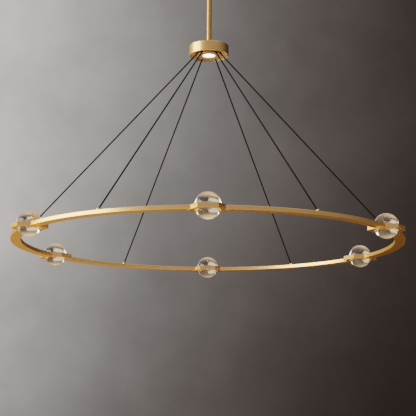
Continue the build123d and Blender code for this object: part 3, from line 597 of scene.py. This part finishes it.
def make_floor():
    bpy.ops.mesh.primitive_circle_add(vertices=FLOOR_SIDES, radius=FLOOR_RADIUS, fill_type="NGON",
                                      location=(0, 0, FLOOR_Z))
    floor = bpy.context.object
    floor.name = "floor"
    floor.data.materials.append(floor_finish())


def studio_level(tree, turn):
    """How light the studio is at a turn in degrees: 0 is the darkest grey and 1 the lightest, in even steps."""
    stops = []
    for angle, grey in STUDIO_GREYS:
        level = math.log(grey / DARKEST_GREY) / math.log(LIGHTEST_GREY / DARKEST_GREY)
        stops.append(((angle + 180) / 360, (level, level, level)))
    share = math_node(tree, "ADD", math_node(tree, "DIVIDE", turn, 360.0), 0.5)
    return ramp(tree, share, stops)


def studio_brightness(tree, level):
    """The grey of a level."""
    power = math_node(tree, "POWER", LIGHTEST_GREY / DARKEST_GREY, level)
    return math_node(tree, "MULTIPLY", power, DARKEST_GREY)


def flag_finish():
    """Painted light and shade of the floor as glass shows it: a painted warm pool round the stem, dim brown
    ground past it as painted shade, and the studio's tones further on.
    """
    material, tree, shader = new_material("flag_tones")
    x, y, z = coordinates(tree, place(tree))
    cloud = spread(tree, screed(tree), *FLAG_CLOUD)
    pool_radius = FLAG_POOL[-1][0]
    pool_stops = [(distance / pool_radius, colour) for distance, colour in FLAG_POOL]
    pool = ramp(tree, math_node(tree, "DIVIDE", hypotenuse(tree, x, y), pool_radius), pool_stops)
    side = spread(tree, x, *FLAG_POOL_SIDES, -FLAG_POOL_SIDE, FLAG_POOL_SIDE)
    turn = math_node(tree, "MULTIPLY", x, FLAG_TURN)
    turn = math_node(tree, "MAXIMUM", math_node(tree, "MINIMUM", turn, FLAG_TURN_MOST), -FLAG_TURN_MOST)
    tones = ramp(tree, studio_level(tree, turn), FLAG_TONES)
    ahead = spread(tree, y, 0.0, 1.0, *FLAG_CLEAR)
    light = add(tree, "ShaderNodeVectorMath", operation="MAXIMUM")
    for socket, colour, share in ((light.inputs[0], pool, side), (light.inputs[1], tones, ahead)):
        scale = add(tree, "ShaderNodeVectorMath", operation="SCALE")
        tree.links.new(colour, scale.inputs[0])
        tree.links.new(math_node(tree, "MULTIPLY", cloud, share), scale.inputs["Scale"])
        tree.links.new(scale.outputs[0], socket)
    tree.links.new(light.outputs[0], shader.inputs["Emission Color"])
    shader.inputs["Emission Strength"].default_value = FLAG_LIGHT
    shader.inputs["Base Color"].default_value = BLACK
    shader.inputs["Specular IOR Level"].default_value = 0.0
    return material


def make_flag():
    """A card just above the floor, which only glass and polished metal see. It gives its own light."""
    corners = [(-FLAG_SIDE, FLAG_START, 0.0), (FLAG_SIDE, FLAG_START, 0.0), (FLAG_SIDE, FLAG_END, 0.0),
               (-FLAG_SIDE, FLAG_END, 0.0)]
    mesh = bpy.data.meshes.new("flag")
    mesh.from_pydata(corners, [], [(0, 1, 2, 3)])
    mesh.materials.append(flag_finish())
    flag = bpy.data.objects.new("flag", mesh)
    flag.location = (0.0, 0.0, FLOOR_Z + FLAG_LIFT)
    bpy.context.scene.collection.objects.link(flag)
    flag.visible_camera = False
    flag.visible_diffuse = False
    flag.visible_shadow = False


def make_world():
    """A soft grey studio, bright on the left and dim on the right, that falls off towards the lower right."""
    world = bpy.data.worlds.new("studio")
    world.use_nodes = True
    bpy.context.scene.world = world
    tree = world.node_tree
    background = tree.nodes["Background"]
    direction = add(tree, "ShaderNodeTexCoord").outputs["Generated"]
    x, y, z = coordinates(tree, direction)
    turn = math_node(tree, "MULTIPLY", math_node(tree, "ARCTAN2", x, y), 180 / math.pi)
    rise = math_node(tree, "MULTIPLY", math_node(tree, "ARCSINE", z), 180 / math.pi)
    drop = math_node(tree, "MAXIMUM", math_node(tree, "SUBTRACT", BACKDROP_RISE, rise), 0.0)
    slant = math_node(tree, "MULTIPLY", drop, BACKDROP_SLANT)
    ceiling = spread(tree, rise, 0.0, CEILING_LEVEL, *CEILING_RISE)
    level = math_node(tree, "MAXIMUM", studio_level(tree, math_node(tree, "ADD", turn, slant)), ceiling)
    tree.links.new(ramp(tree, level, STUDIO_TINTS), background.inputs["Color"])
    cloud = spread(tree, noise(tree, direction, CLOUD_SCALE, detail=6.0, roughness=0.62), *CLOUD_LIGHT)
    strength = math_node(tree, "MULTIPLY", studio_brightness(tree, level), cloud)
    tree.links.new(strength, background.inputs["Strength"])


def make_area(name, location, target, size, power, colour):
    """A softbox that the camera doesn't see, but gloss and glass do."""
    data = bpy.data.lights.new(name, "AREA")
    data.shape = "RECTANGLE"
    data.size, data.size_y = size
    data.energy = power
    data.color = colour
    light = bpy.data.objects.new(name, data)
    bpy.context.scene.collection.objects.link(light)
    light.location = location
    light.rotation_euler = (Vector(target) - Vector(location)).to_track_quat("-Z", "Y").to_euler()
    light.visible_camera = False


def make_lights():
    """A large softbox on the left, and two low cards that light the edges of the crystals."""
    make_area("softbox_left", SOFTBOX_PLACE, SOFTBOX_TARGET, SOFTBOX_SIZE, SOFTBOX_POWER, SOFTBOX_COLOUR)
    reach, ahead, height = CARD_PLACE
    for side, name in ((-1, "card_left"), (1, "card_right")):
        make_area(name, (side * reach, ahead, height), (0.0, 0.0, RING_Z), CARD_SIZE, CARD_POWER, CARD_COLOUR)


def make_pool_light():
    """The warm pool of light that the hub's lamp throws on the floor."""
    data = bpy.data.lights.new("lamp_pool", "SPOT")
    data.energy = SPOT_POWER
    data.color = SPOT_COLOUR
    data.spot_size = math.radians(SPOT_CONE)
    data.spot_blend = 1.0
    data.shadow_soft_size = SPOT_RADIUS
    light = bpy.data.objects.new("lamp_pool", data)
    bpy.context.scene.collection.objects.link(light)
    light.location = (0.0, 0.0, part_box("downlight_bezel")[0].z - SPOT_DROP)


def set_view():
    """A film's soft shoulder, as the photograph's highlights have it."""
    view = bpy.context.scene.view_settings
    view.view_transform = "Filmic"
    view.look = "Medium High Contrast"


make_camera()
finish_of = dress_nodes()
for cord_index in range(STATIONS):
    make_cord(cord_index, finish_of["cord"])
make_floor()
make_flag()
make_world()
make_lights()
make_pool_light()
set_view()
